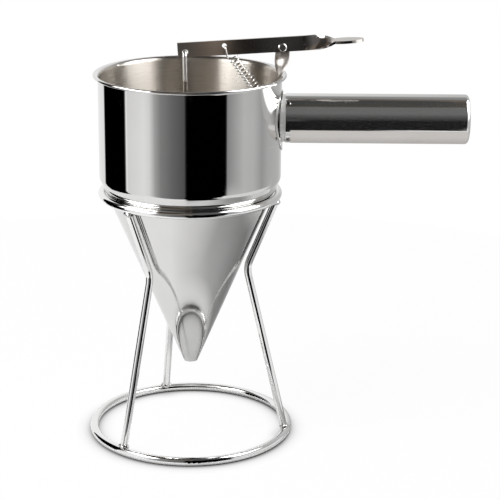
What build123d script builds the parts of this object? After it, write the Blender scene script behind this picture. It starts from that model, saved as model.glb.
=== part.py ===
from build123d import *
import math
import os

os.makedirs("parts", exist_ok=True)

# Sizes in millimetres and degrees. The funnel's axis is Z, the table is Z = 0 and the handle points along +X.

# Hopper, cone and lip
body_radius = 65.0
sheet = 0.8
outlet_height = 53.5
outlet_radius = 5.0
cone_height = 140.7
hopper_height = 74.7
shoulder_radius = 6.0
lip_overhang = 3.4
lip_bead_radius = 1.1

# Stand
base_ring_outset = 7.0
base_wire_radius = 3.3
base_flat_depth = 0.3
top_ring_inset = 1.8
top_wire_radius = 2.75
leg_wire_radius = 2.7
leg_gap = 2.2
leg_kink_height = 128.0
leg_bend_radius = 20.0
leg_top_inset = 0.2
leg_top_drop = 1.75
leg_foot_inset = 1.2
leg_foot_rise = 2.2
leg_left_angle = -41.0
leg_right_angle = 79.0
leg_rear_angle = 198.0

# Handle
handle_drop = 32.0
handle_radius = 17.6
handle_wall = 1.0
handle_gap = 1.7
handle_length = 126.8
cap_length = 3.0
cap_edge_radius = 2.6
cap_spigot = 6.0
flange_width = 35.0
flange_height = 43.5
flange_sheet = 0.9
flange_drop = 1.4
ferrule_step = 0.7
ferrule_spigot = 8.0
ferrule_head_gap = 0.8
pin_radius = 1.1
pin_head_radius = 1.7
pin_head_height = 0.7
pin_setback = 1.9
pin_angle = 48.0

# Post and its fasteners
strip_thickness = 2.0
post_width = 10.0
post_foot_margin = 6.1
post_twist_length = 15.5
post_twist_drop = 1.8
stud_rise = 4.3
rivet_drop = 8.7
fastener_radius = 2.0
fastener_head_radius = 3.5
fastener_head_height = 1.8
stud_neck_radius = 2.2
stud_neck_length = 6.0
stud_disc_radius = 3.3
stud_disc_thickness = 1.2

# Pivot
pivot_rise = 18.7
pivot_radius = 1.8
pivot_head_radius = 3.1
pivot_head_height = 1.5
pivot_recess_radius = 1.7
pivot_recess_depth = 0.9
washer_thickness = 0.6
washer_radius = 4.0

# Lever
lever_tilt = 3.75
lever_height = 10.5
lever_offset = 2.1
lever_front = 73.6
lever_twist_start = 14.6
lever_twist_length = 22.4
lever_twist_gain = 1.4
pad_length = 20.0
pad_round = 13.0
pad_width = 15.2
lever_travel = 15.0
spring_hole_reach = 40.65
spring_hole_rise = 1.47
spring_hole_radius = 1.7

# Rod and plug
rod_radius = 1.6
rod_reach = 68.7
rod_height_on_lever = 3.65
rod_bend_radius = 2.6
rod_stand_off = 1.0
rod_tail = 6.5
plug_height = 16.0
plug_setback = 6.5
plug_hub_radius = 4.5
plug_hub_height = 9.0
rod_depth_in_hub = 12.0

# Return spring
spring_wire_radius = 0.45
coil_radius = 2.75
coil_turns = 15
coil_start = 10.3
coil_end_gap = 9.0
hook_bend_radius = 1.4
hook_tail = 3.5
hook_leg_lean = 1.6
hook_leg_drop = 7.0

# Rounding of rivet and pin heads as a share of their height, and the turn of a twist and its sections
head_round = 0.8
twist_angle = 90.0
twist_steps = 8

# Clearances
seat_clearance = 0.3
fit_clearance = 0.05
running_clearance = 0.05
axial_play = 0.1
slot_clearance = 0.25
wire_clearance = 0.3

# Derived places
cone_slope = (body_radius - outlet_radius) / cone_height
cone_angle = math.atan(cone_slope)
corner_height = outlet_height + cone_height
lip_top = corner_height + hopper_height
inner_radius = body_radius - sheet
base_ring_radius = body_radius + base_ring_outset
top_ring_radius = body_radius - top_ring_inset
handle_height = lip_top - handle_drop
handle_start = body_radius + flange_sheet + handle_gap
tube_end = handle_start + handle_length
strip_outer = math.sqrt(inner_radius**2 - (post_width / 2) ** 2)
strip_inner = strip_outer - strip_thickness
lever_half = strip_thickness / 2
pivot = Vector(body_radius, 0, lip_top + pivot_rise)
washer_front = lever_half + axial_play
post_front = washer_front + washer_thickness
post_back = post_front + strip_thickness
tilt = math.radians(lever_tilt)
stud_height = handle_height + stud_rise
rivet_height = handle_height - rivet_drop
ferrule_bore_radius = max(stud_rise, rivet_drop) + fastener_head_radius + ferrule_head_gap


def on_lever(reach, rise, side=0.0):
    """A point given along the lever from the pivot, above the pivot and across, in the part's frame."""
    return pivot + Vector(
        reach * math.cos(tilt) - rise * math.sin(tilt),
        side,
        reach * math.sin(tilt) + rise * math.cos(tilt),
    )


def turned(points):
    """A solid turned about Z from (radius, height) corners."""
    outline = Polyline(*[(r, 0, z) for r, z in points], close=True)
    return revolve(make_face(outline), Axis.Z)


def rounded_path(points, radius):
    """Edges of straight runs through the points, with an arc of the given radius at each inner corner."""
    edges = []
    start = points[0]
    for before, corner, after in zip(points, points[1:], points[2:]):
        u = (corner - before).normalized()
        v = (after - corner).normalized()
        turn = u.get_angle(v)
        cut = radius * math.tan(math.radians(turn) / 2)
        p = corner - u * cut
        q = corner + v * cut
        edges.append(Edge.make_line(start, p))
        edges.append(Edge.make_tangent_arc(p, u, q))
        start = q
    edges.append(Edge.make_line(start, points[-1]))
    return edges


def biarc(p, u, q, v):
    """Two arcs from p along u to q along v that share a tangent where they meet."""
    chord = q - p
    both = u + v
    bend = 2 * (1 - u.dot(v))
    along = chord.dot(both)
    reach = (-along + math.sqrt(along**2 + bend * chord.dot(chord))) / bend
    middle = (p + q + (u - v) * reach) * 0.5
    first = Edge.make_tangent_arc(p, u, middle)
    return [first, Edge.make_tangent_arc(middle, first % 1, q)]


def round_bar(edges, radius):
    """A round bar of the given radius along joined edges."""
    path = Wire(edges)
    section = Plane(origin=path @ 0, z_dir=path % 0) * Circle(radius)
    return sweep(section, path=path)


def tangent_cone_radius(height, inset):
    """Radius of the cone's wall at a height, moved inward by an inset square to the wall."""
    return outlet_radius + cone_slope * (height - outlet_height) - inset / math.cos(cone_angle)


# Funnel shell: one spun sheet from the outlet to the lip
half_turn = cone_angle / 2
shoulder_cut = shoulder_radius * math.tan(half_turn)
shoulder_top = corner_height + shoulder_cut
arc_centre = (body_radius - shoulder_radius, shoulder_top)
lip_radius = body_radius + lip_overhang
lip_bend_radius = lip_overhang - lip_bead_radius
bead_centre = (lip_radius - lip_bead_radius, lip_top - lip_bead_radius)
lip_bend_centre = (body_radius + lip_bend_radius, lip_top - sheet - lip_bend_radius)


def shell_side(inset):
    """Points of the sheet's profile at an inset from its outer face: outlet, shoulder and lip bend."""
    radius = shoulder_radius - inset
    bend = lip_bend_radius + inset
    shoulder = [
        (arc_centre[0] + radius * math.cos(a), 0, arc_centre[1] - radius * math.sin(a))
        for a in (cone_angle, half_turn, 0.0)
    ]
    lip = [
        (lip_bend_centre[0] - bend * math.cos(a), 0, lip_bend_centre[1] + bend * math.sin(a))
        for a in (0.0, math.pi / 4, math.pi / 2)
    ]
    outlet = (tangent_cone_radius(outlet_height, inset), 0, outlet_height)
    return outlet, shoulder, lip


out_tip, out_shoulder, out_lip = shell_side(0.0)
in_tip, in_shoulder, in_lip = shell_side(sheet)
shell_outline = [
    Line(in_tip, out_tip),
    Line(out_tip, out_shoulder[0]),
    ThreePointArc(*out_shoulder),
    Line(out_shoulder[2], out_lip[0]),
    ThreePointArc(*out_lip),
    Line(out_lip[2], in_lip[2]),
    ThreePointArc(*in_lip[::-1]),
    Line(in_lip[0], in_shoulder[2]),
    ThreePointArc(*in_shoulder[::-1]),
    Line(in_shoulder[0], in_tip),
]
funnel_shell = revolve(make_face(Wire(shell_outline)), Axis.Z)
bead_ring = Pos(0, 0, bead_centre[1]) * Torus(bead_centre[0], lip_bead_radius)
funnel_shell = funnel_shell + bead_ring

# Fasteners through the post, wall and flange lie along X at two heights
along_x = {
    height: Plane(origin=(strip_inner, 0, height), x_dir=(0, 1, 0), z_dir=(1, 0, 0))
    for height in (stud_height, rivet_height)
}
flange_outer = body_radius + flange_sheet
grip = flange_outer - strip_inner
fastener_holes = [
    place * Cylinder(fastener_radius + fit_clearance, grip * 2) for place in along_x.values()
]
funnel_shell = funnel_shell - fastener_holes

# Stand: the top ring's height follows from the cone that rests in it
seat = top_wire_radius + seat_clearance
cone_at_ring = top_ring_radius - seat / math.cos(cone_angle)
top_ring_height = outlet_height + (cone_at_ring - outlet_radius) / cone_slope
base_ring_height = base_wire_radius - base_flat_depth
below_table = Pos(0, 0, -base_ring_radius) * Box(
    base_ring_radius * 4, base_ring_radius * 4, base_ring_radius * 2
)
base_ring = Pos(0, 0, base_ring_height) * Torus(base_ring_radius, base_wire_radius) - below_table
top_ring = Pos(0, 0, top_ring_height) * Torus(top_ring_radius, top_wire_radius)


def leg(angle):
    """A kinked leg in the upright plane at an angle from the front, its ends coped to the two rings."""
    out = Vector(math.sin(math.radians(angle)), -math.cos(math.radians(angle)), 0)
    top = out * (top_ring_radius - leg_top_inset) + Vector(0, 0, top_ring_height - leg_top_drop)
    kink_radius = tangent_cone_radius(leg_kink_height, 0) + leg_wire_radius + leg_gap
    kink = out * kink_radius + Vector(0, 0, leg_kink_height)
    foot = out * (base_ring_radius - leg_foot_inset) + Vector(0, 0, base_ring_height + leg_foot_rise)
    bar = round_bar(rounded_path([top, kink, foot], leg_bend_radius), leg_wire_radius)
    return bar - top_ring - base_ring


leg_left = leg(leg_left_angle)
leg_right = leg(leg_right_angle)
leg_rear = leg(leg_rear_angle)

# Handle: flange, ferrule, tube and cap on one axis along +X
handle_axis = Plane(origin=(0, 0, handle_height), x_dir=(0, 1, 0), z_dir=(1, 0, 0))


def ring_along(inner, outer, start, end):
    """A ring on the handle's axis between two X positions."""
    length = end - start
    ring = Cylinder(outer, length) - Cylinder(inner, length * 2)
    return handle_axis * (Pos(0, 0, start + length / 2) * ring)


flange_band = Cylinder(flange_outer, flange_height * 2) - Cylinder(body_radius, flange_height * 4)
flange_oval = Pos(0, -flange_drop) * Ellipse(flange_width / 2, flange_height / 2)
flange_blank = handle_axis * extrude(flange_oval, flange_outer * 2)
handle_flange = (Pos(0, 0, handle_height) * flange_band) & flange_blank
handle_flange = handle_flange - fastener_holes
tube_bore = handle_radius - handle_wall
spigot_radius = tube_bore - fit_clearance
wall_side = Pos(0, 0, handle_height) * Cylinder(flange_outer, handle_radius * 4)
ferrule_neck = ring_along(ferrule_bore_radius, handle_radius - ferrule_step, body_radius / 2, handle_start)
ferrule_inside = ring_along(ferrule_bore_radius, spigot_radius, handle_start, handle_start + ferrule_spigot)
handle_ferrule = (ferrule_neck - wall_side) + ferrule_inside
handle_tube = ring_along(tube_bore, handle_radius, handle_start, tube_end)
cap_disc = handle_axis * (Pos(0, 0, tube_end + cap_length / 2) * Cylinder(handle_radius, cap_length))
cap_disc = fillet(cap_disc.edges().sort_by(Axis.X)[-1], cap_edge_radius)
cap_plug = ring_along(spigot_radius - handle_wall, spigot_radius, tube_end - cap_spigot, tube_end)
handle_end_cap = cap_disc + cap_plug

# Small pins through the tube into the ferrule
pin_angles = [pin_angle, 180 - pin_angle, 180 + pin_angle, 360 - pin_angle]
pin_station = handle_start + pin_setback
pin_shank = handle_radius - ferrule_bore_radius
pin_shape = Pos(0, 0, -pin_shank / 2) * Cylinder(pin_radius, pin_shank)
pin_head = Pos(0, 0, pin_head_height / 2) * Cylinder(pin_head_radius, pin_head_height)
pin_head = fillet(pin_head.edges().sort_by(Axis.Z)[-1], pin_head_height * head_round)
pin_hole = Cylinder(pin_radius + fit_clearance, pin_shank * 4)
pin_places = []
for angle in pin_angles:
    up = Vector(0, math.cos(math.radians(angle)), math.sin(math.radians(angle)))
    foot = Vector(pin_station, 0, handle_height) + up * handle_radius
    pin_places.append(Plane(origin=foot, x_dir=(1, 0, 0), z_dir=up))
pin_holes = [place * pin_hole for place in pin_places]
handle_tube = handle_tube - pin_holes
handle_ferrule = handle_ferrule - pin_holes
handle_pins = [place * (pin_shape + pin_head) for place in pin_places]


# Post: a flat strip inside the hopper, twisted a quarter turn up to the pivot
def strip_section(centre, turn, width, thickness):
    """A strip's cross-section across Z, its width turned from Y by an angle about Z."""
    lie = Vector(math.sin(math.radians(turn)), -math.cos(math.radians(turn)), 0)
    return Plane(origin=centre, x_dir=lie, z_dir=(0, 0, 1)) * Rectangle(width, thickness)


def ease(share):
    """A smooth run from 0 to 1 that starts and ends level."""
    return share * share * (3 - 2 * share)


post_foot_height = rivet_height - post_foot_margin
twist_bottom = lip_top - post_twist_drop
twist_top = twist_bottom + post_twist_length
post_low = Vector((strip_inner + strip_outer) / 2, 0, twist_bottom)
post_high = Vector(pivot.X, (post_front + post_back) / 2, twist_top)
post_sections = []
for step in range(twist_steps + 1):
    share = step / twist_steps
    centre = post_low + (post_high - post_low) * ease(share)
    level = Vector(centre.X, centre.Y, twist_bottom + post_twist_length * share)
    post_sections.append(strip_section(level, twist_angle * share, post_width, strip_thickness))
post_twist = loft(post_sections)
foot_length = twist_bottom - post_foot_height
foot_middle = post_foot_height + foot_length / 2
post_flat = Pos(post_low.X, 0, foot_middle) * Box(strip_thickness, post_width, foot_length)
head_plane = Plane(origin=(pivot.X, post_back, pivot.Z), x_dir=(1, 0, 0), z_dir=(0, -1, 0))
head_blank = Pos(0, (twist_top - pivot.Z) / 2) * Rectangle(post_width, pivot.Z - twist_top)
post_head = head_plane * extrude(head_blank + Circle(post_width / 2), strip_thickness)
pivot_axis = Plane(origin=pivot, x_dir=(1, 0, 0), z_dir=(0, 1, 0))
pivot_hole = pivot_axis * Cylinder(pivot_radius + running_clearance, body_radius)
lever_post = post_flat + post_twist + post_head
lever_post = lever_post - fastener_holes - pivot_hole

# The upper fastener carries the spring in the groove of its head, the lower one has a round head
shank = Pos(0, 0, grip / 2) * Cylinder(fastener_radius, grip)
head = Cylinder(fastener_head_radius, fastener_head_height)
outer_head = Pos(0, 0, grip + fastener_head_height / 2) * head
outer_head = fillet(outer_head.edges().sort_by(Axis.Z)[-1], fastener_head_height * head_round)
neck = Pos(0, 0, -stud_neck_length / 2) * Cylinder(stud_neck_radius, stud_neck_length)
disc_middle = -stud_neck_length - stud_disc_thickness / 2
disc = Pos(0, 0, disc_middle) * Cylinder(stud_disc_radius, stud_disc_thickness)
spring_stud = along_x[stud_height] * (shank + outer_head + neck + disc)
inner_head = Pos(0, 0, -fastener_head_height / 2) * head
inner_head = fillet(inner_head.edges().sort_by(Axis.Z)[0], fastener_head_height * head_round)
post_rivet = along_x[rivet_height] * (shank + outer_head + inner_head)

# Pivot rivet through the lever, washer and post
rivet_front = -lever_half - axial_play
rivet_body = turned([
    (0, rivet_front - pivot_head_height + pivot_recess_depth),
    (pivot_recess_radius, rivet_front - pivot_head_height + pivot_recess_depth),
    (pivot_recess_radius, rivet_front - pivot_head_height),
    (pivot_head_radius, rivet_front - pivot_head_height),
    (pivot_head_radius, rivet_front),
    (pivot_radius, rivet_front),
    (pivot_radius, post_back),
    (pivot_head_radius, post_back),
    (pivot_head_radius, post_back + pivot_head_height),
    (0, post_back + pivot_head_height),
])
rims = rivet_body.edges().filter_by(GeomType.CIRCLE).group_by(SortBy.RADIUS)[-1].sort_by(Axis.Z)
rivet_body = fillet([rims[0], rims[-1]], pivot_head_height * head_round)
pivot_rivet = pivot_axis * rivet_body
washer_bore = Cylinder(pivot_radius + running_clearance, washer_thickness * 2)
washer_ring = Cylinder(washer_radius, washer_thickness) - washer_bore
pivot_washer = pivot_axis * (Pos(0, 0, washer_front + washer_thickness / 2) * washer_ring)

# Lever: a flat bar on edge that twists a quarter turn into a thumb pad
lever_frame = Plane(
    origin=pivot, x_dir=(math.cos(tilt), 0, math.sin(tilt)), z_dir=(-math.sin(tilt), 0, math.cos(tilt))
)
bar_length = lever_front + lever_twist_start
lever_straight = Pos((lever_twist_start - lever_front) / 2, 0, lever_offset) * Box(
    bar_length, strip_thickness, lever_height
)
lever_sections = []
for step in range(twist_steps + 1):
    share = step / twist_steps
    turn = math.radians(twist_angle * share**lever_twist_gain)
    lie = Vector(0, math.sin(turn), math.cos(turn))
    place = Plane(
        origin=(lever_twist_start + lever_twist_length * share, 0, lever_offset), x_dir=lie, z_dir=(1, 0, 0)
    )
    lever_sections.append(place * Rectangle(lever_height, strip_thickness))
lever_twist = loft(lever_sections)
pad_start = lever_twist_start + lever_twist_length
pad_outline = Pos(pad_start + pad_length - pad_round, 0) * Ellipse(pad_round, pad_width / 2)
pad_neck = Pos(pad_start + (pad_length - pad_round) / 2, 0) * Rectangle(pad_length - pad_round, lever_height)
pad_left = Pos(pad_start - pad_length, 0) * Rectangle(pad_length * 2, pad_width * 2)
pad_plate = extrude((pad_outline - pad_left) + pad_neck, strip_thickness)
thumb_pad = Pos(0, 0, lever_offset - strip_thickness / 2) * pad_plate
thumb_lever = lever_frame * (lever_straight + lever_twist + thumb_pad)

# Rod: a leaning wire from the plug to the lever's slot, bent through it and down behind the lever
rod_front = -lever_half - rod_stand_off - rod_radius
rod_back = lever_half + rod_stand_off + rod_radius
rod_rise = lever_offset - lever_height / 2 + rod_height_on_lever
rod_top = on_lever(-rod_reach, rod_rise, rod_front)
rod_behind = on_lever(-rod_reach, rod_rise, rod_back)
plug_bottom = outlet_height + plug_setback
plug_top = plug_bottom + plug_height
hub_top = plug_top + plug_hub_height
rod_foot = Vector(0, 0, hub_top - rod_depth_in_hub)
rod_tail_end = rod_behind - Vector(0, 0, rod_tail)
rod_path = rounded_path([rod_foot, rod_top, rod_behind, rod_tail_end], rod_bend_radius)
plunger_rod = round_bar(rod_path, rod_radius)
rod_axis = (rod_top - rod_foot).normalized()

# The rod rises along the chord of the arc that its place on the lever swings through,
# so the slot is as long as the arc is deep
half_swing = math.radians(lever_travel) / 2
arm = Vector(rod_top.X - pivot.X, 0, rod_top.Z - pivot.Z)
chord_way = Vector(-arm.Z, 0, arm.X).rotate(Axis.Y, lever_travel / 2).normalized() * -1
chord_length = 2 * arm.length * math.sin(half_swing)
slot_run = arm.length * (1 - math.cos(half_swing))
slot_half = rod_radius + slot_clearance
slot_blank = SlotCenterToCenter(slot_run, slot_half * 2)
slot_plane = Plane(
    origin=on_lever(-rod_reach + slot_run / 2, rod_rise),
    x_dir=(math.cos(tilt), 0, math.sin(tilt)),
    z_dir=(0, -1, 0),
)
rod_slot = slot_plane * extrude(slot_blank, strip_thickness, both=True)
hook_point = on_lever(-spring_hole_reach, lever_offset + spring_hole_rise)
spring_hole = Plane(origin=hook_point, x_dir=(1, 0, 0), z_dir=(0, 1, 0)) * Cylinder(
    spring_hole_radius, strip_thickness * 2
)
thumb_lever = thumb_lever - pivot_hole - rod_slot - spring_hole

# Plug: a cone that follows the wall at the seat's clearance, with a hub for the rod
plug_inset = sheet + seat_clearance
plug_body = turned([
    (0, plug_bottom),
    (tangent_cone_radius(plug_bottom, plug_inset), plug_bottom),
    (tangent_cone_radius(plug_top, plug_inset), plug_top),
    (plug_hub_radius, plug_top),
    (plug_hub_radius, hub_top),
    (0, hub_top),
])
rod_hole = Plane(origin=rod_foot, z_dir=rod_axis) * Cylinder(
    rod_radius + fit_clearance, rod_depth_in_hub * 2, align=(Align.CENTER, Align.CENTER, Align.MIN)
)
stopper_plug = plug_body - rod_hole

# Return spring: hook through the lever's hole, coil towards the stud and a loop in the stud's groove
loop_x = strip_inner - stud_neck_length / 2
loop_centre = Vector(loop_x, 0, stud_height)
loop_radius = stud_neck_radius + wire_clearance + spring_wire_radius
spring_span = (loop_centre - hook_point).length
down = (loop_centre - hook_point).normalized()
across = Vector(0, 1, 0)
beside = down.cross(across)
coil_end = spring_span - coil_end_gap
coil_pitch = (coil_end - coil_start) / coil_turns


def coil(turns):
    """Point and direction on the coil after a number of turns, from the front of the spring's axis."""
    angle = 2 * math.pi * turns
    ray = across * -math.cos(angle) + beside * math.sin(angle)
    round_way = across * math.sin(angle) + beside * math.cos(angle)
    way = round_way * (2 * math.pi * coil_radius) + down * coil_pitch
    return hook_point + down * (coil_start + coil_pitch * turns) + ray * coil_radius, way.normalized()


hook_pull = down * (spring_hole_radius - wire_clearance - spring_wire_radius)
hook_side = across * coil_radius
hook_front = hook_point + hook_pull - hook_side
hook_back = hook_point + hook_pull + hook_side
hook_leg = Vector(hook_leg_lean, 0, -hook_leg_drop)
leg_end = hook_front + hook_leg
spring_edges = rounded_path([hook_back + down * hook_tail, hook_back, hook_front, leg_end], hook_bend_radius)
quarter = 0.25
coil_stops = [quarter * count for count in range(1, 4 * coil_turns + 1)]
at, way = leg_end, hook_leg.normalized()
for stop in coil_stops:
    point, heading = coil(stop)
    spring_edges += biarc(at, way, point, heading)
    at, way = point, heading
loop_start = loop_centre - across * loop_radius
loop_way = Vector(0, 0, -1)
spring_edges += biarc(at, way, loop_start, loop_way)
loop_low = loop_centre + loop_way * loop_radius
loop_far = loop_centre + across * loop_radius
spring_edges.append(Edge.make_tangent_arc(loop_start, loop_way, loop_low))
spring_edges.append(Edge.make_tangent_arc(loop_low, across, loop_far))
return_spring = round_bar(spring_edges, spring_wire_radius)

# Least gap between turns of the spring, measured on points along the wire
wire_points = []
for edge in spring_edges:
    count = max(2, round(edge.length / spring_wire_radius))
    wire_points += [edge @ (i / count) for i in range(count)]
run = [0.0]
for a, b in zip(wire_points, wire_points[1:]):
    run.append(run[-1] + (b - a).length)
far_apart = 8 * spring_wire_radius
least_gap = min(
    (a - b).length
    for i, a in enumerate(wire_points)
    for b, s in zip(wire_points[i + 1:], run[i + 1:])
    if s - run[i] > far_apart
)
print("spring: least gap to itself", round(least_gap - 2 * spring_wire_radius, 3), "mm")
print("rod rises along", [round(v, 6) for v in chord_way], "by", round(chord_length, 4))
print("pivot", [round(v, 4) for v in pivot], "top ring height", round(top_ring_height, 4))
print("spring from", [round(v, 3) for v in hook_point], "to", [round(v, 3) for v in loop_centre])

nodes = {
    "base_ring": base_ring,
    "top_ring": top_ring,
    "leg_left": leg_left,
    "leg_right": leg_right,
    "leg_rear": leg_rear,
    "funnel_shell": funnel_shell,
    "lever_post": lever_post,
    "handle_flange": handle_flange,
    "handle_ferrule": handle_ferrule,
    "handle_tube": handle_tube,
    "handle_end_cap": handle_end_cap,
    "handle_pins": Compound(children=[Part(pin.wrapped) for pin in handle_pins]),
    "spring_stud": spring_stud,
    "post_rivet": post_rivet,
    "pivot_rivet": pivot_rivet,
    "pivot_washer": pivot_washer,
    "thumb_lever": thumb_lever,
    "return_spring": return_spring,
    "plunger_rod": plunger_rod,
    "stopper_plug": stopper_plug,
}
for name, shape in nodes.items():
    export_step(shape, f"parts/{name}.step")
    print(name, len(shape.solids()), round(shape.volume, 2))
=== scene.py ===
"""Steel finishes, return spring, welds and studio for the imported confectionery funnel."""
import math

import bpy
import numpy as np
from mathutils import Matrix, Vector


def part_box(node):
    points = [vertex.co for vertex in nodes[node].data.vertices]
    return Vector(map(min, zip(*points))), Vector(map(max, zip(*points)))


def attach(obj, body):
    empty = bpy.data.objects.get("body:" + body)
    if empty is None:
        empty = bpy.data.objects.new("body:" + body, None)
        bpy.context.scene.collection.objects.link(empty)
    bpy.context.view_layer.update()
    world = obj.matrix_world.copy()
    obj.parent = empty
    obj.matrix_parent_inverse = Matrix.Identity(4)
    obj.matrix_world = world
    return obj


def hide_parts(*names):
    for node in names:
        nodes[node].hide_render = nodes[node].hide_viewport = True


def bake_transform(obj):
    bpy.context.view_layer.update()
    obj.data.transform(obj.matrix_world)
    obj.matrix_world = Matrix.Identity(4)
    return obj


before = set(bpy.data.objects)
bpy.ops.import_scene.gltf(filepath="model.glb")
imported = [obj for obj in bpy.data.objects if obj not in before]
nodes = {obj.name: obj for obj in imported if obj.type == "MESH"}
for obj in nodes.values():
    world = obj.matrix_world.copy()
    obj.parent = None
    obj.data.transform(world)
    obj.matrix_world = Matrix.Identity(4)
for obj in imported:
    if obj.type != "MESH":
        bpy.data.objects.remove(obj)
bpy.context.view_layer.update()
scene = bpy.context.scene
scene.view_settings.view_transform = "Standard"
MM = 0.001

# Camera: in front, a little right of the funnel's axis and looking down on the hopper's rim
CAMERA_PLACE = (0.0433, -1.1723, 0.4988)
CAMERA_TILT = 0.2981
CAMERA_ROLL = 0.0078
CAMERA_LENS = 121.42
CAMERA_SENSOR = 36.0
CAMERA_CLIP = 50.0


def place_camera():
    """Camera axes: forward is +Y tilted down, right is X rolled a little upwards, up is square to both."""
    right = np.array([1.0, 0.0, 0.0])
    forward = np.array([0.0, math.cos(CAMERA_TILT), -math.sin(CAMERA_TILT)])
    up = np.cross(right, forward)
    rolled_right = right * math.cos(CAMERA_ROLL) + up * math.sin(CAMERA_ROLL)
    rolled_up = np.cross(rolled_right, forward)
    data = bpy.data.cameras.new("camera")
    data.lens = CAMERA_LENS
    data.sensor_width = CAMERA_SENSOR
    data.clip_end = CAMERA_CLIP
    camera = bpy.data.objects.new("camera", data)
    scene.collection.objects.link(camera)
    columns = np.column_stack([rolled_right, rolled_up, -forward, CAMERA_PLACE])
    camera.matrix_world = Matrix(np.vstack([columns, [0, 0, 0, 1]]).tolist())
    scene.camera = camera


place_camera()


# Node trees
class Net:
    """A shader node tree with short calls for placing and joining nodes."""

    def __init__(self, tree):
        self.tree = tree

    def node(self, kind, **settings):
        made = self.tree.nodes.new(kind)
        for key, value in settings.items():
            setattr(made, key, value)
        return made

    def feed(self, target, value):
        """Joins a socket to an input, or sets the input to a plain value."""
        if isinstance(value, bpy.types.NodeSocket):
            self.tree.links.new(value, target)
        else:
            target.default_value = value

    def math(self, operation, *values, clamp=False):
        made = self.node("ShaderNodeMath", operation=operation, use_clamp=clamp)
        for target, value in zip(made.inputs, values):
            self.feed(target, value)
        return made.outputs[0]

    def product(self, first, *others):
        """Values multiplied together."""
        for other in others:
            first = self.math("MULTIPLY", first, other)
        return first

    def weighed(self, *terms, clamp=False):
        """Values times their weights, added up."""
        total, *middle, last = [self.math("MULTIPLY", value, weight) for value, weight in terms]
        for part in middle:
            total = self.math("ADD", total, part)
        return self.math("ADD", total, last, clamp=clamp)

    def remap(self, value, low, high, new_low=0.0, new_high=1.0):
        """A value's share of the way from low to high, clamped, and spread from new_low to new_high."""
        made = self.node("ShaderNodeMapRange", clamp=True)
        for target, number in zip(made.inputs, (value, low, high, new_low, new_high)):
            self.feed(target, number)
        return made.outputs[0]

    def between(self, value, rise, fall):
        """1 from where a value has risen to where it starts to fall, and 0 outside."""
        return self.product(self.remap(value, *rise), self.remap(value, *fall, 1.0, 0.0))

    def split(self, vector):
        """The X, Y and Z of a vector, by name."""
        made = self.node("ShaderNodeSeparateXYZ")
        self.feed(made.inputs[0], vector)
        return made.outputs

    def length(self, vector):
        made = self.node("ShaderNodeVectorMath", operation="LENGTH")
        self.feed(made.inputs[0], vector)
        return made.outputs["Value"]

    def noise(self, vector, scale, detail=2.0, roughness=0.5):
        made = self.node("ShaderNodeTexNoise")
        self.feed(made.inputs["Vector"], vector)
        self.feed(made.inputs["Scale"], scale)
        self.feed(made.inputs["Detail"], detail)
        self.feed(made.inputs["Roughness"], roughness)
        return made.outputs["Fac"]

    def stretch(self, vector, scale):
        made = self.node("ShaderNodeVectorMath", operation="MULTIPLY")
        self.feed(made.inputs[0], vector)
        self.feed(made.inputs[1], scale)
        return made.outputs[0]

    def mix_color(self, share, a, b):
        made = self.node("ShaderNodeMix", data_type="RGBA")
        self.feed(made.inputs["Factor"], share)
        self.feed(made.inputs[6], a)
        self.feed(made.inputs[7], b)
        return made.outputs[2]

    def mix_shader(self, share, a, b):
        made = self.node("ShaderNodeMixShader")
        for target, value in zip(made.inputs, (share, a, b)):
            self.feed(target, value)
        return made.outputs[0]

    def glow(self, color, strength):
        made = self.node("ShaderNodeEmission")
        self.feed(made.inputs["Color"], color)
        self.feed(made.inputs["Strength"], strength)
        return made.outputs[0]

    def group(self, tree, **values):
        made = self.node("ShaderNodeGroup", node_tree=tree)
        for key, value in values.items():
            self.feed(made.inputs[key.replace("_", " ")], value)
        return made.outputs


def new_group(name, inputs, outputs):
    """A shader node group with named sockets; gives its net, its inputs and the sockets for its results."""
    tree = bpy.data.node_groups.new(name, "ShaderNodeTree")
    for label, kind in inputs:
        tree.interface.new_socket(name=label, in_out="INPUT", socket_type=kind)
    for label, kind in outputs:
        tree.interface.new_socket(name=label, in_out="OUTPUT", socket_type=kind)
    net = Net(tree)
    return net, net.node("NodeGroupInput").outputs, net.node("NodeGroupOutput").inputs


SMUDGE_RANGE = (0.42, 0.72)
SCRATCH_WIDTH = 0.006
SCRATCH_GATE_SCALE = 90.0
SCRATCH_GATE = (0.5, 0.62)


def handling_marks():
    """Soft smudges from large noise, and hairline scratches where a slow noise crosses its middle value."""
    net, given, result = new_group(
        "handling marks",
        [
            ("Position", "NodeSocketVector"),
            ("Smudge Scale", "NodeSocketFloat"),
            ("Scratch Scale", "NodeSocketFloat"),
        ],
        [("Smudge", "NodeSocketFloat"), ("Scratch", "NodeSocketFloat")],
    )
    cloud = net.noise(given["Position"], given["Smudge Scale"], 5.0, 0.6)
    net.feed(result["Smudge"], net.remap(cloud, *SMUDGE_RANGE))
    ridge = net.noise(given["Position"], given["Scratch Scale"], 1.0, 0.4)
    distance = net.math("ABSOLUTE", net.math("SUBTRACT", ridge, 0.5))
    line = net.remap(distance, 0.0, SCRATCH_WIDTH, 1.0, 0.0)
    gate = net.remap(net.noise(given["Position"], SCRATCH_GATE_SCALE, 1.0), *SCRATCH_GATE)
    net.feed(result["Scratch"], net.product(line, gate))
    return net.tree


def grain_lines():
    """Fine lines square to a stretch direction: noise on a position that is drawn out along the grain."""
    net, given, result = new_group(
        "grain lines",
        [("Position", "NodeSocketVector"), ("Stretch", "NodeSocketVector")],
        [("Fine", "NodeSocketFloat")],
    )
    drawn = net.stretch(given["Position"], given["Stretch"])
    net.feed(result["Fine"], net.noise(drawn, 1.0, 3.0, 0.65))
    return net.tree


marks_group = handling_marks()
grain_group = grain_lines()


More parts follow.
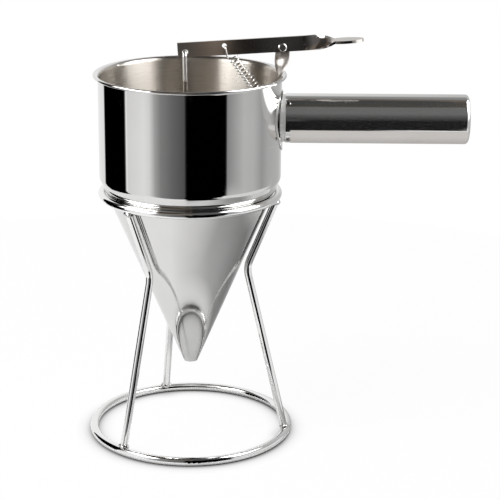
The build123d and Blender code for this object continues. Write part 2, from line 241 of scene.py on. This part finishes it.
def new_material(name, metallic=1.0):
    """A material with one Principled shader; gives it with its net, the shader's inputs and the position."""
    material = bpy.data.materials.new(name)
    material.use_nodes = True
    net = Net(material.node_tree)
    shader = material.node_tree.nodes["Principled BSDF"].inputs
    shader["Metallic"].default_value = metallic
    position = net.node("ShaderNodeTexCoord").outputs["Object"]
    return material, net, shader, position


def finish_surface(net, shader, color, roughness, height, bump):
    """Feeds colour and roughness, and a bump of the given strength and height in metres."""
    net.feed(shader["Base Color"], color)
    net.feed(shader["Roughness"], roughness)
    made = net.node("ShaderNodeBump")
    made.inputs["Strength"].default_value = bump[0]
    made.inputs["Distance"].default_value = bump[1]
    net.feed(made.inputs["Height"], height)
    net.feed(shader["Normal"], made.outputs["Normal"])


GRAIN_DEPTH = 0.00002


def polished_steel(name, bright, dull, stretch, smooth=0.03, rough=0.10, bump=0.04, metallic=1.0):
    """Mirror steel: two close greys, roughness raised by smudges, hairlines and grain."""
    material, net, shader, position = new_material(name, metallic)
    marks = net.group(marks_group, Position=position, Smudge_Scale=26.0, Scratch_Scale=70.0)
    grain = net.group(grain_group, Position=position, Stretch=stretch)
    worn = net.weighed((marks["Smudge"], 0.5), (marks["Scratch"], 0.6), (grain["Fine"], 0.3), clamp=True)
    color = net.mix_color(worn, bright, dull)
    roughness = net.remap(worn, 0.0, 1.0, smooth, rough)
    finish_surface(net, shader, color, roughness, grain["Fine"], (bump, GRAIN_DEPTH))
    return material


BODY_RADIUS = 65.0 * MM
MIRROR = (0.74, 0.735, 0.73, 1)
MIRROR_DULL = (0.66, 0.655, 0.645, 1)
SATIN = (0.72, 0.685, 0.635, 1)
SATIN_DULL = (0.58, 0.54, 0.49, 1)
HANDLE = (0.91, 0.905, 0.895, 1)
HANDLE_DULL = (0.83, 0.825, 0.81, 1)
LEVER = (0.66, 0.62, 0.59, 1)
LEVER_DULL = (0.52, 0.48, 0.45, 1)
BRIGHT = (0.84, 0.83, 0.82, 1)
SPRING = (0.8, 0.79, 0.77, 1)
SPRING_DULL = (0.6, 0.59, 0.57, 1)
PIN = (0.42, 0.41, 0.40, 1)
PIN_DULL = (0.3, 0.29, 0.28, 1)
CHROME = (0.88, 0.88, 0.875, 1)
CHROME_DULL = (0.8, 0.8, 0.79, 1)
# Rod: painted light on the upper end above the hopper's rim and painted shade below it, each with its own
# roughness
ROD_PAINTED_SHADE = (0.58, 0.55, 0.51, 1)
ROD_LIT_FROM = 264.0 * MM
ROD_LIT_EDGE = 1.2 * MM
ROD_EDGE_WAVER = 1.5 * MM
ROD_SHADED_ROUGH = (0.12, 0.2)
ROD_LIT_ROUGH = (0.3, 0.42)
OUTSIDE_ROUGH = (0.02, 0.09)
INSIDE_ROUGH = (0.26, 0.35)
BRUSH_BUMP = (0.08, 0.00003)
ROD_BUMP = (0.05, GRAIN_DEPTH)


def hopper_steel():
    """Mirror outside with spun lines, brushed satin inside, told apart by which way a face looks."""
    material, net, shader, position = new_material("hopper steel")
    shader["Anisotropic"].default_value = 1.0
    shader["Anisotropic Rotation"].default_value = 0.25
    flat = net.stretch(position, (1, 1, 0))
    facing = net.node("ShaderNodeVectorMath", operation="DOT_PRODUCT")
    net.feed(facing.inputs[0], flat)
    net.feed(facing.inputs[1], net.node("ShaderNodeNewGeometry").outputs["True Normal"])
    inward = net.math("LESS_THAN", facing.outputs["Value"], 0.0)
    within = net.math("LESS_THAN", net.length(flat), BODY_RADIUS)
    inside = net.product(inward, within)
    spun = net.node("ShaderNodeCombineXYZ")
    net.feed(spun.inputs[2], net.split(position)["Z"])
    marks = net.group(marks_group, Position=position, Smudge_Scale=20.0, Scratch_Scale=60.0)
    fine = net.group(grain_group, Position=spun.outputs[0], Stretch=(0, 0, 2600))
    brush = net.group(grain_group, Position=position, Stretch=(70, 70, 1500))
    worn = net.weighed((marks["Smudge"], 0.45), (marks["Scratch"], 0.5), (fine["Fine"], 0.25), clamp=True)
    streak = net.remap(brush["Fine"], 0.3, 0.7)
    brushed = net.weighed((streak, 0.7), (marks["Smudge"], 0.3))
    outside_color = net.mix_color(worn, MIRROR, MIRROR_DULL)
    inside_color = net.mix_color(brushed, SATIN, SATIN_DULL)
    color = net.mix_color(inside, outside_color, inside_color)
    outside_rough = net.remap(worn, 0.0, 1.0, *OUTSIDE_ROUGH)
    inside_rough = net.remap(brushed, 0.0, 1.0, *INSIDE_ROUGH)
    roughness = net.remap(inside, 0.0, 1.0, outside_rough, inside_rough)
    finish_surface(net, shader, color, roughness, net.product(streak, inside), BRUSH_BUMP)
    return material


def rod_steel():
    """Drawn rod: its upper end painted bright satin, standing for light above the hopper's rim, the rest
    painted darker, standing for shade inside the hopper.
    """
    material, net, shader, position = new_material("rod steel")
    marks = net.group(marks_group, Position=position, Smudge_Scale=60.0, Scratch_Scale=90.0)
    grain = net.group(grain_group, Position=position, Stretch=(1500, 1500, 60))
    # Painted light above a wavering height on the rod, painted shade below it
    edge = net.math("ADD", net.split(position)["Z"], net.product(marks["Smudge"], ROD_EDGE_WAVER))
    rod_lit_share = net.remap(edge, ROD_LIT_FROM, ROD_LIT_FROM + ROD_LIT_EDGE)
    drawn = net.weighed((grain["Fine"], 0.6), (marks["Smudge"], 0.4))
    rod_lit_color = net.mix_color(drawn, BRIGHT, MIRROR)
    rod_shaded_color = net.mix_color(drawn, ROD_PAINTED_SHADE, LEVER_DULL)
    rod_shaded_rough = net.remap(drawn, 0.0, 1.0, *ROD_SHADED_ROUGH)
    rod_lit_rough = net.remap(drawn, 0.0, 1.0, *ROD_LIT_ROUGH)
    roughness = net.remap(rod_lit_share, 0.0, 1.0, rod_shaded_rough, rod_lit_rough)
    finish_surface(net, shader, net.mix_color(rod_lit_share, rod_shaded_color, rod_lit_color), roughness, grain["Fine"], ROD_BUMP)
    return material


hopper = hopper_steel()
wire = polished_steel("stand wire", CHROME, CHROME_DULL, (300, 300, 300), 0.008, 0.035, 0.003)
weld = polished_steel("weld steel", MIRROR, LEVER_DULL, (700, 700, 700), 0.08, 0.3, 0.3)
handle = polished_steel("handle steel", HANDLE, HANDLE_DULL, (10, 480, 480), 0.05, 0.11, 0.03, 0.98)
ferrule = polished_steel("ferrule steel", BRIGHT, MIRROR_DULL, (900, 300, 300), 0.34, 0.46, 0.04, 0.45)
strip = polished_steel("strip steel", LEVER, LEVER_DULL, (60, 1800, 1800), 0.12, 0.2, 0.06)
post = polished_steel("post steel", LEVER, LEVER_DULL, (1200, 1200, 60), 0.36, 0.46)
coil = polished_steel("spring wire", SPRING, SPRING_DULL, (900, 900, 900), 0.03, 0.09)
pin = polished_steel("pin steel", PIN, PIN_DULL, (900, 900, 900), 0.04, 0.12)
bright = polished_steel("bright wire", BRIGHT, MIRROR_DULL, (900, 900, 900), 0.08, 0.2)
rod = rod_steel()

finishes = {
    hopper: ["funnel_shell"],
    wire: ["base_ring", "top_ring", "leg_left", "leg_right", "leg_rear"],
    handle: ["handle_flange", "handle_tube", "handle_end_cap"],
    ferrule: ["handle_ferrule"],
    rod: ["plunger_rod"],
    strip: ["thumb_lever", "stopper_plug", "pivot_washer", "spring_stud", "post_rivet"],
    post: ["lever_post"],
    bright: ["pivot_rivet", "return_spring"],
    pin: ["handle_pins"],
}
for material, names in finishes.items():
    for name in names:
        mesh = nodes[name].data
        mesh.materials.clear()
        mesh.materials.append(material)


# New pieces
def new_piece(name, points, faces, material):
    """A smooth mesh object at the origin."""
    mesh = bpy.data.meshes.new(name)
    mesh.from_pydata(points.tolist(), [], faces)
    mesh.polygons.foreach_set("use_smooth", np.ones(len(faces), bool))
    mesh.materials.append(material)
    made = bpy.data.objects.new(name, mesh)
    scene.collection.objects.link(made)
    return made


def surface(name, grid, material, close_round=True, close_along=False):
    """A sheet from a grid of points: quads between rows along and columns round; either may join up."""
    rows, columns, _ = grid.shape
    here = np.arange(rows * columns).reshape(rows, columns)
    here = np.concatenate([here, here[:1]]) if close_along else here
    here = np.concatenate([here, here[:, :1]], axis=1) if close_round else here
    quads = np.stack([here[:-1, :-1], here[:-1, 1:], here[1:, 1:], here[1:, :-1]], axis=-1).reshape(-1, 4)
    return new_piece(name, grid.reshape(-1, 3), quads.tolist(), material)


def closed_surface(name, grid, material):
    """A closed skin from a grid of rings whose end rows are one point each: quads, and a fan at each end."""
    rows, columns, _ = grid.shape
    here = np.arange((rows - 2) * columns).reshape(rows - 2, columns) + 1
    ahead = np.roll(here, -1, axis=1)
    quads = np.stack([here[:-1], ahead[:-1], ahead[1:], here[1:]], axis=-1).reshape(-1, 4)
    last = (rows - 2) * columns + 1
    first_fan = np.stack([np.zeros(columns, int), ahead[0], here[0]], axis=-1)
    last_fan = np.stack([here[-1], ahead[-1], np.full(columns, last)], axis=-1)
    points = np.concatenate([grid[0, :1], grid[1:-1].reshape(-1, 3), grid[-1, :1]])
    return new_piece(name, points, quads.tolist() + first_fan.tolist() + last_fan.tolist(), material)


def tube(path, radius, reference, sides=14):
    """A round bar along a path: rings of points square to its direction, drawn in to a point at both ends."""
    way = np.gradient(path, axis=0)
    way /= np.linalg.norm(way, axis=1, keepdims=True)
    out = np.cross(way, reference)
    out /= np.linalg.norm(out, axis=1, keepdims=True)
    side = np.cross(way, out)
    angle = np.linspace(0, 2 * math.pi, sides, endpoint=False)
    ring = np.cos(angle)[None, :, None] * out[:, None] + np.sin(angle)[None, :, None] * side[:, None]
    run = np.concatenate([[0], np.cumsum(np.linalg.norm(np.diff(path, axis=0), axis=1))])
    reach = np.minimum(run, run[-1] - run) / radius
    swell = np.sqrt(np.clip(1 - (1 - np.clip(reach, 0, 1)) ** 2, 0, 1))
    return path[:, None] + ring * (radius * swell)[:, None, None]


SPRING_HOOK = np.array([24.204, 0.0, 288.504])
SPRING_LOOP = np.array([59.005, 0.0, 241.2])
SPRING_WIRE = 0.55
COIL_RADIUS = 3.2
COIL_TURNS = 15
COIL_START = 10.3
COIL_END_GAP = 9.0
HOOK_PULL = 0.95
HOOK_BEND = 1.4
HOOK_TAIL = 3.5
HOOK_LEG = np.array([1.6, 0.0, -7.0])
LOOP_RADIUS = 2.95
COIL_FIRST_TURN = 0.25
TURN_STEPS = 40
EASE_IN = 1.25
EASE_OUT = 1.1


def run_between(a, b, steps=12):
    """Points on the straight run from a to b, without its last one."""
    return a + (b - a) * np.linspace(0, 1, steps, endpoint=False)[:, None]


def bend(corner, before, after, radius, steps=14):
    """Points on an arc that rounds a square corner between two unit directions."""
    angle = np.linspace(0, math.pi / 2, steps, endpoint=False)[:, None]
    centre = corner + (after - before) * radius
    return centre - after * radius * np.cos(angle) + before * radius * np.sin(angle)


def ease_between(a, way_a, b, way_b, steps=40):
    """A cubic from a along way_a to b along way_b (Hermite form)."""
    t = np.linspace(0, 1, steps, endpoint=False)[:, None]
    return (
        (2 * t**3 - 3 * t**2 + 1) * a
        + (t**3 - 2 * t**2 + t) * way_a
        + (3 * t**2 - 2 * t**3) * b
        + (t**3 - t**2) * way_b
    )


def spring_path():
    """Hook through the lever's hole, a coil round the line to the stud, a half loop in the stud's groove."""
    span = np.linalg.norm(SPRING_LOOP - SPRING_HOOK)
    down = (SPRING_LOOP - SPRING_HOOK) / span
    across = np.array([0.0, 1.0, 0.0])
    beside = np.cross(down, across)
    pitch = (span - COIL_END_GAP - COIL_START) / COIL_TURNS

    def coil(turns):
        angle = 2 * math.pi * np.atleast_1d(turns)[:, None]
        ray = -np.cos(angle) * across + np.sin(angle) * beside
        return SPRING_HOOK + down * (COIL_START + pitch * angle / (2 * math.pi)) + ray * COIL_RADIUS

    def coil_way(turns):
        angle = 2 * math.pi * turns
        round_way = across * math.sin(angle) + beside * math.cos(angle)
        way = round_way * (2 * math.pi * COIL_RADIUS) + down * pitch
        return way / np.linalg.norm(way)

    leg_way = HOOK_LEG / np.linalg.norm(HOOK_LEG)
    back = SPRING_HOOK + down * HOOK_PULL + across * COIL_RADIUS
    front = back - across * 2 * COIL_RADIUS
    leg_end = front + HOOK_LEG
    near = coil(COIL_FIRST_TURN)[0]
    far = coil(COIL_TURNS)[0]
    loop_start = SPRING_LOOP - across * LOOP_RADIUS
    fall = np.array([0.0, 0.0, -1.0])
    swing = np.linspace(0, math.pi, TURN_STEPS)[:, None]
    reach = EASE_IN * np.linalg.norm(near - leg_end)
    drop = EASE_OUT * np.linalg.norm(loop_start - far)
    return np.concatenate([
        run_between(back + down * HOOK_TAIL, back + down * HOOK_BEND),
        bend(back, -down, -across, HOOK_BEND),
        run_between(back - across * HOOK_BEND, front + across * HOOK_BEND),
        bend(front, -across, leg_way, HOOK_BEND),
        run_between(front + leg_way * HOOK_BEND, leg_end),
        ease_between(leg_end, leg_way * reach, near, coil_way(COIL_FIRST_TURN) * reach),
        coil(np.linspace(COIL_FIRST_TURN, COIL_TURNS, COIL_TURNS * TURN_STEPS, endpoint=False)),
        ease_between(far, coil_way(COIL_TURNS) * drop, loop_start, fall * drop),
        SPRING_LOOP - across * LOOP_RADIUS * np.cos(swing) + fall * LOOP_RADIUS * np.sin(swing),
    ]) * MM


spring_skin = tube(spring_path(), SPRING_WIRE * MM, np.array([1.0, 0.0, 0.0]))
spring = closed_surface("return_spring_wire", spring_skin, coil)
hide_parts("return_spring")
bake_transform(spring)

# Lip: the rolled edge of the hopper as one smooth ring, a hair proud of the sheet
LIP_EDGE_RADIUS = 67.3
LIP_EDGE_HEIGHT = 267.8
LIP_ROLL = 1.12


def lip_edge():
    """A torus: a circle of the roll's radius carried round the hopper's axis."""
    turn = np.linspace(0, 2 * math.pi, 720, endpoint=False)[:, None]
    roll = np.linspace(0, 2 * math.pi, 36, endpoint=False)[None, :]
    reach = LIP_EDGE_RADIUS + LIP_ROLL * np.cos(roll)
    height = (LIP_EDGE_HEIGHT + LIP_ROLL * np.sin(roll)) * np.ones_like(turn)
    grid = np.stack([reach * np.cos(turn), reach * np.sin(turn), height], axis=-1) * MM
    made = surface("lip_edge", grid[:, ::-1], hopper, close_along=True)
    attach(made, "funnel")


lip_edge()

# Welds where the legs meet the rings: by the leg's angle from the front towards the handle
LEG_ANGLES = {"left": -41.0, "right": 79.0, "rear": 198.0}
TOP_RING_RADIUS = 63.2
TOP_RING_HEIGHT = (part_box("top_ring")[0][2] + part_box("top_ring")[1][2]) / 2 / MM
BASE_RING_RADIUS = 72.0
BASE_RING_HEIGHT = 3.0
TOP_WELD = {"inset": 0.9, "below": 3.9, "size": (3.9, 3.2, 2.3)}
FOOT_WELD = {"inset": 1.3, "below": -3.6, "size": (3.9, 3.4, 2.2)}
SLOW_RIPPLE = 0.09
QUICK_RIPPLE = 0.07


def weld_bead(name, ring_radius, ring_height, degrees, weld_place, phase):
    """A ball of three radii (along the ring, outwards, upwards) that ripples with sines of its angles."""
    turn = math.radians(degrees)
    out = np.array([math.sin(turn), -math.cos(turn), 0.0])
    along = np.array([-math.cos(turn), -math.sin(turn), 0.0])
    rise = np.linspace(0, math.pi, 19)[:, None]
    round_ = np.linspace(0, 2 * math.pi, 32, endpoint=False)[None, :]
    waist = np.sin(rise) ** 2
    slow = SLOW_RIPPLE * np.sin(4 * round_ + phase)
    quick = QUICK_RIPPLE * np.sin(7 * round_ - 5 * rise + 2 * phase)
    ripple = 1 + waist * (slow + quick)
    ball = ripple[..., None] * np.stack([
        np.sin(rise) * np.cos(round_), np.sin(rise) * np.sin(round_), -np.cos(rise) * np.ones_like(round_),
    ], axis=-1) * np.array(weld_place["size"])
    centre = out * (ring_radius - weld_place["inset"]) + [0.0, 0.0, ring_height - weld_place["below"]]
    grid = centre + ball[..., :1] * along + ball[..., 1:2] * out + ball[..., 2:] * np.array([0.0, 0.0, 1.0])
    made = closed_surface(name, grid * MM, weld)
    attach(made, "stand")


for number, (side, degrees) in enumerate(LEG_ANGLES.items()):
    weld_bead(f"top_weld_{side}", TOP_RING_RADIUS, TOP_RING_HEIGHT, degrees, TOP_WELD, 1.3 * number)
    weld_bead(f"foot_weld_{side}", BASE_RING_RADIUS, BASE_RING_HEIGHT, degrees, FOOT_WELD, 0.7 + 1.9 * number)

# Studio: white floor with a painted contact shadow and, for metal only, painted shade; a room pale behind and
# dark in front, and cards that only metal shows.
# A zone's pair gives where it starts and where it is full, in metres or in radians of bearing
FLOOR_HALF = 6.0
FLOOR_WHITE = (0.22, 0.6)
FLOOR_LIFT = 0.95
# Painted contact shadow: floor paint and glow darken where an ambient-occlusion node finds the object within
# reach
CONTACT_REACH = 0.012
CONTACT_OPEN = (0.28, 0.97)
CONTACT_SHADOW_PAINT = 0.06
CONTACT_SHADOW_GLOW = 0.3
SHEET_TONE = 0.92
# Painted shade that only metal shows: the floor darker right of and in front of the object, deeper further
# right
SHADE_RIGHT = (-0.08, 0.08)
SHADE_FRONT = (-0.2, -0.1)
SHADE_OUTSIDE = (0.08, 0.105)
SHADE_END = (0.2, 0.24)
SHADE_TONE = 0.5
DEEPER_RIGHT = (0.08, 0.2)
DEEPER_TONE = 0.36
# Painted shade that only metal shows: the floor darker inside the base ring, for rays from farther than the
# ring's own wire
RING_EDGE = (0.066, 0.07)
RING_DISTANCE = (0.05, 0.06)
RING_SHADE_TONE = 0.71
# Painted shade that only metal shows: a black zone on the floor in front of the object, from the axis to the
# right
FRONT_SHADE_LEFT = (-0.02, 0.0)
FRONT_SHADE_RIGHT = (0.15, 0.19)
FRONT_SHADE_DEPTH = (-0.165, -0.18)
CARD_REACH = (0.30, 0.27)
CARD_CORNER = 6.0
CARD_HEIGHT = 1.2


def grey(tone):
    return (tone, tone, tone, 1)


def stage_material(name):
    """A material without nodes; gives it with its net and the position."""
    material = bpy.data.materials.new(name)
    material.use_nodes = True
    net = Net(material.node_tree)
    material.node_tree.nodes.clear()
    return material, net, net.node("ShaderNodeTexCoord").outputs["Object"]


def show(net, shader):
    """Makes a shader the material's surface."""
    net.feed(net.node("ShaderNodeOutputMaterial").inputs["Surface"], shader)


def white_floor():
    """A flat sheet: near the object lit so that it keeps a trace of the real shadow, with a painted contact
    shadow and, for metal only, painted shade; plain white further out.
    """
    edge = np.linspace(-FLOOR_HALF, FLOOR_HALF, 9)
    x, y = np.meshgrid(edge, edge)
    grid = np.stack([x, y, np.zeros_like(x)], axis=-1)
    material, net, position = stage_material("floor")
    place = net.split(position)
    distance = net.length(position)
    far = net.remap(distance, *FLOOR_WHITE)
    path = net.node("ShaderNodeLightPath").outputs
    in_metal = path["Is Glossy Ray"]
    # Painted contact shadow, from ambient occlusion
    contact = net.node("ShaderNodeAmbientOcclusion", samples=16)
    contact.inputs["Distance"].default_value = CONTACT_REACH
    open_sky = net.remap(contact.outputs["AO"], *CONTACT_OPEN)
    # Painted shade for metal only, to the right of and in front of the object
    shade = net.product(
        net.remap(place["X"], *SHADE_RIGHT),
        net.remap(place["Y"], *SHADE_FRONT),
        net.remap(distance, *SHADE_OUTSIDE),
        in_metal,
        net.remap(place["X"], *SHADE_END, 1.0, 0.0),
    )
    deeper = net.product(shade, net.remap(place["X"], *DEEPER_RIGHT))
    # Painted shade inside the base ring, for metal only
    shade_within_ring = net.product(
        net.remap(distance, *RING_EDGE, 1.0, 0.0), in_metal, net.remap(path["Ray Length"], *RING_DISTANCE),
    )
    # Painted black shade in front of the object, for metal only
    front_shade = net.product(
        net.between(place["X"], FRONT_SHADE_LEFT, FRONT_SHADE_RIGHT), net.remap(place["Y"], *FRONT_SHADE_DEPTH), in_metal,
    )
    sheet = net.mix_color(shade, grey(SHEET_TONE), grey(SHADE_TONE))
    sheet = net.mix_color(deeper, sheet, grey(DEEPER_TONE))
    sheet = net.mix_color(shade_within_ring, sheet, grey(RING_SHADE_TONE))
    sheet = net.mix_color(front_shade, sheet, grey(0.0))
    paint = net.node("ShaderNodeBsdfDiffuse")
    net.feed(paint.inputs["Color"], net.mix_color(open_sky, grey(CONTACT_SHADOW_PAINT), sheet))
    glow_color = net.mix_color(open_sky, grey(CONTACT_SHADOW_GLOW), grey(1.0))
    glow = net.glow(net.mix_color(front_shade, glow_color, grey(0.0)), 1.0)
    lift = net.product(net.math("MAXIMUM", far, FLOOR_LIFT), path["Is Camera Ray"])
    white = net.math("MAXIMUM", lift, net.product(far, in_metal))
    show(net, net.mix_shader(white, paint.outputs[0], glow))
    return surface("floor", grid, material, close_round=False)


# Cards: bearing from the camera's side towards the handle, in degrees, and the tone that metal shows there.
# Up to the hopper's rim: rear sheet, left flag, left sheet that falls off forwards, front flag, right sheet
LOW_CARDS = [
    (-180, 0.95), (-124, 0.95), (-122, 0.0), (-77.5, 0.0), (-76.5, 1.2), (-74, 0.85), (-52, 0.95),
    (-45, 0.85), (-38, 0.45), (-31, 0.27), (-18, 0.17), (-4, 0.1), (-2.5, 0.0), (43.5, 0.0), (44.5, 0.3),
    (66, 0.6), (80, 0.57), (94, 0.4), (107, 0.5), (140, 0.55), (180, 0.95),
]
# In front, level with the lever: dim room, a warm pane up to the spring's hole, dim room
RIM_CARDS = [
    (-180, 0.0), (-7, 0.0), (-4, 0.07), (0, 0.15), (1.6, 0.2), (3, 0.46), (3.6, 0.46), (4.6, 0.0),
    (9, 0.0), (13, 0.05), (19, 0.05), (180, 0.0),
]
# Above the rim: rear wall, left softbox, dim room in front, right softbox, rear wall
LEFT_BOX = 9.5
RIGHT_BOX = 7.0
HIGH_CARDS = [
    (-180, 0.24), (-130, 0.24), (-92, 0.05), (-87, LEFT_BOX), (-45, LEFT_BOX), (-40, 0.22), (-8, 0.22),
    (6, 0.13), (57, 0.13), (62, RIGHT_BOX), (103, RIGHT_BOX), (109, 0.24), (180, 0.24),
]
# Tones in these ranges are tinted
LOW_WARM = (0.0, 0.0)
RIM_WARM = (0.1, 0.5)
HIGH_WARM = (0.14, 0.23)
# Heights and bearings where one row of cards gives way to the next; behind the object they do so higher up
BEHIND = (0.05, 0.2)
HIGH_START = (0.24, 0.46)
HIGH_FULL = (0.42, 0.57)
RIM_LEFT = (-0.12, -0.1)
RIM_RIGHT = (0.3, 0.33)
RIM_BOTTOM = (0.227, 0.231)
RIM_TOP = (0.262, 0.28)
FOOT_LEFT = (0.72, 0.8)
FOOT_RIGHT = (1.9, 2.1)
FOOT_TOP = (0.125, 0.1)
ROOF_SIDES = (-0.3, 0.3)
ROOF_START = (0.75, 0.42)
ROOF_FULL = (0.9, 0.5)
ROOF_TONES = (0.05, 0.12)
FOOT_TONE = 0.85
# Card right under the handle
BOUNCE_GAP = 0.001
BOUNCE_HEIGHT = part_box("handle_tube")[0][2] - BOUNCE_GAP
BOUNCE_RUN = (0.0712, 0.21)
BOUNCE_DEPTH = (-0.0297, 0.015)
BOUNCE_FALL = (-0.0155, -0.0055)
BOUNCE_TONES = (0.61, 0.47)
BOUNCE_REACH = 0.0192
BOUNCE_TINT = (1.0, 0.965, 0.94, 1)
PLAIN = (1.0, 1.0, 1.0)
WARM = (1.0, 0.84, 0.70)


def only_in_metal(card):
    """A card that reflections show, and that the camera, the floor's light and its shadows don't."""
    card.visible_camera = False
    card.visible_diffuse = False
    card.visible_shadow = False
    card.visible_transmission = False
    return card


def card_light(net, share, tones, warm):
    """A glow by bearing: a ramp over one turn whose top stands for the brightest tone."""
    peak = max(tone for _, tone in tones)
    ramp = net.node("ShaderNodeValToRGB")
    stops = ramp.color_ramp.elements
    while len(stops) < len(tones):
        stops.new(0.5)
    for stop, (degrees, tone) in zip(stops, tones):
        stop.position = (degrees + 180) / 360
        tint = WARM if warm[0] < tone < warm[1] else PLAIN
        stop.color = (*(tone / peak * part for part in tint), 1)
    net.feed(ramp.inputs[0], share)
    return net.glow(ramp.outputs["Color"], peak)


def studio_cards():
    """A wall of pale and black cards: a superellipse (x/a)^n + (y/b)^n = 1 carried upwards."""
    angle = np.linspace(0, 2 * math.pi, 240, endpoint=False)
    height = np.linspace(0.0, CARD_HEIGHT, 5)
    along = np.abs(np.cos(angle) / CARD_REACH[0]) ** CARD_CORNER
    across = np.abs(np.sin(angle) / CARD_REACH[1]) ** CARD_CORNER
    reach = (along + across) ** (-1 / CARD_CORNER)
    ring = np.stack([np.cos(angle), np.sin(angle)], axis=-1) * reach[:, None]
    grid = np.concatenate([
        np.broadcast_to(ring, (len(height), len(angle), 2)),
        np.broadcast_to(height[:, None, None], (len(height), len(angle), 1)),
    ], axis=-1)
    material, net, position = stage_material("cards")
    place = net.split(position)
    bearing = net.math("ARCTAN2", place["X"], net.math("MULTIPLY", place["Y"], -1.0))
    share = net.remap(bearing, -math.pi, math.pi)
    behind = net.remap(place["Y"], *BEHIND)
    high_start = net.remap(behind, 0.0, 1.0, *HIGH_START)
    high_full = net.remap(behind, 0.0, 1.0, *HIGH_FULL)
    low = card_light(net, share, LOW_CARDS, LOW_WARM)
    high = card_light(net, share, HIGH_CARDS, HIGH_WARM)
    light = net.mix_shader(net.remap(place["Z"], high_start, high_full), low, high)
    over_rim = net.product(
        net.between(bearing, RIM_LEFT, RIM_RIGHT), net.between(place["Z"], RIM_BOTTOM, RIM_TOP),
    )
    light = net.mix_shader(over_rim, light, card_light(net, share, RIM_CARDS, RIM_WARM))
    foot = net.product(net.between(bearing, FOOT_LEFT, FOOT_RIGHT), net.remap(place["Z"], *FOOT_TOP))
    light = net.mix_shader(foot, light, net.glow(grey(1.0), FOOT_TONE))
    left = net.remap(bearing, *ROOF_SIDES, 1.0, 0.0)
    roof_start = net.remap(left, 0.0, 1.0, *ROOF_START)
    roof_full = net.remap(left, 0.0, 1.0, *ROOF_FULL)
    roof = net.glow((*WARM, 1), net.remap(behind, 0.0, 1.0, *ROOF_TONES))
    show(net, net.mix_shader(net.remap(place["Z"], roof_start, roof_full), light, roof))
    return only_in_metal(surface("studio_cards", grid, material))


def bounce_card():
    """A flat card under the handle that only the handle is near enough to show: its pale lower band."""
    x, y = np.meshgrid(np.linspace(*BOUNCE_RUN, 5), np.linspace(*BOUNCE_DEPTH, 5))
    grid = np.stack([x, y, np.full_like(x, BOUNCE_HEIGHT)], axis=-1)
    material, net, position = stage_material("bounce card")
    strength = net.remap(net.split(position)["Y"], *BOUNCE_FALL, *BOUNCE_TONES)
    ray_length = net.node("ShaderNodeLightPath").outputs["Ray Length"]
    distant = net.math("GREATER_THAN", ray_length, BOUNCE_REACH)
    below = net.node("ShaderNodeNewGeometry").outputs["Backfacing"]
    clear = net.node("ShaderNodeBsdfTransparent").outputs[0]
    show(net, net.mix_shader(net.math("MAXIMUM", distant, below), net.glow(BOUNCE_TINT, strength), clear))
    return only_in_metal(surface("bounce_card", grid, material, close_round=False))


# Room: by the share of a reflected ray that points away from the camera's side
ROOM_TURN = (0.5, 0.9)
ROOM_TONES = (0.04, 0.9)
FLOOR_LIGHT = 0.6
# Lamp: above, in front and to the left
KEY_PLACE = (-0.7, -0.5, 1.3)
KEY_TARGET = (0.0, 0.0, 0.1)
KEY_SIZE = 0.7
KEY_POWER = 13.0


def studio_world():
    """White to the camera, even soft light on the floor, and for metal pale behind and dark in front."""
    world = bpy.data.worlds.new("studio")
    scene.world = world
    world.use_nodes = True
    net = Net(world.node_tree)
    backdrop = world.node_tree.nodes["Background"]
    way = net.split(net.node("ShaderNodeTexCoord").outputs["Generated"])
    room = net.remap(way["Y"], *ROOM_TURN, *ROOM_TONES)
    path = net.node("ShaderNodeLightPath").outputs
    in_metal = path["Is Glossy Ray"]
    to_camera = net.remap(path["Is Camera Ray"], 0.0, 1.0, FLOOR_LIGHT, 1.0)
    plain = net.product(net.math("SUBTRACT", 1.0, in_metal), to_camera)
    net.feed(backdrop.inputs["Strength"], net.math("ADD", net.product(room, in_metal), plain))
    backdrop.inputs["Color"].default_value = (1, 1, 1, 1)


def soft_lamp(name, place, target, size, power):
    """A square soft lamp that looks at a target."""
    data = bpy.data.lights.new(name, "AREA")
    data.size = size
    data.energy = power
    lamp = bpy.data.objects.new(name, data)
    scene.collection.objects.link(lamp)
    look = np.array(target) - np.array(place)
    look /= np.linalg.norm(look)
    side = np.cross(look, [0.0, 0.0, 1.0])
    side /= np.linalg.norm(side)
    columns = np.column_stack([side, np.cross(side, look), -look, place])
    lamp.matrix_world = Matrix(np.vstack([columns, [0, 0, 0, 1]]).tolist())
    lamp.visible_glossy = False


white_floor()
studio_cards()
bounce_card()
studio_world()
soft_lamp("key", KEY_PLACE, KEY_TARGET, KEY_SIZE, KEY_POWER)
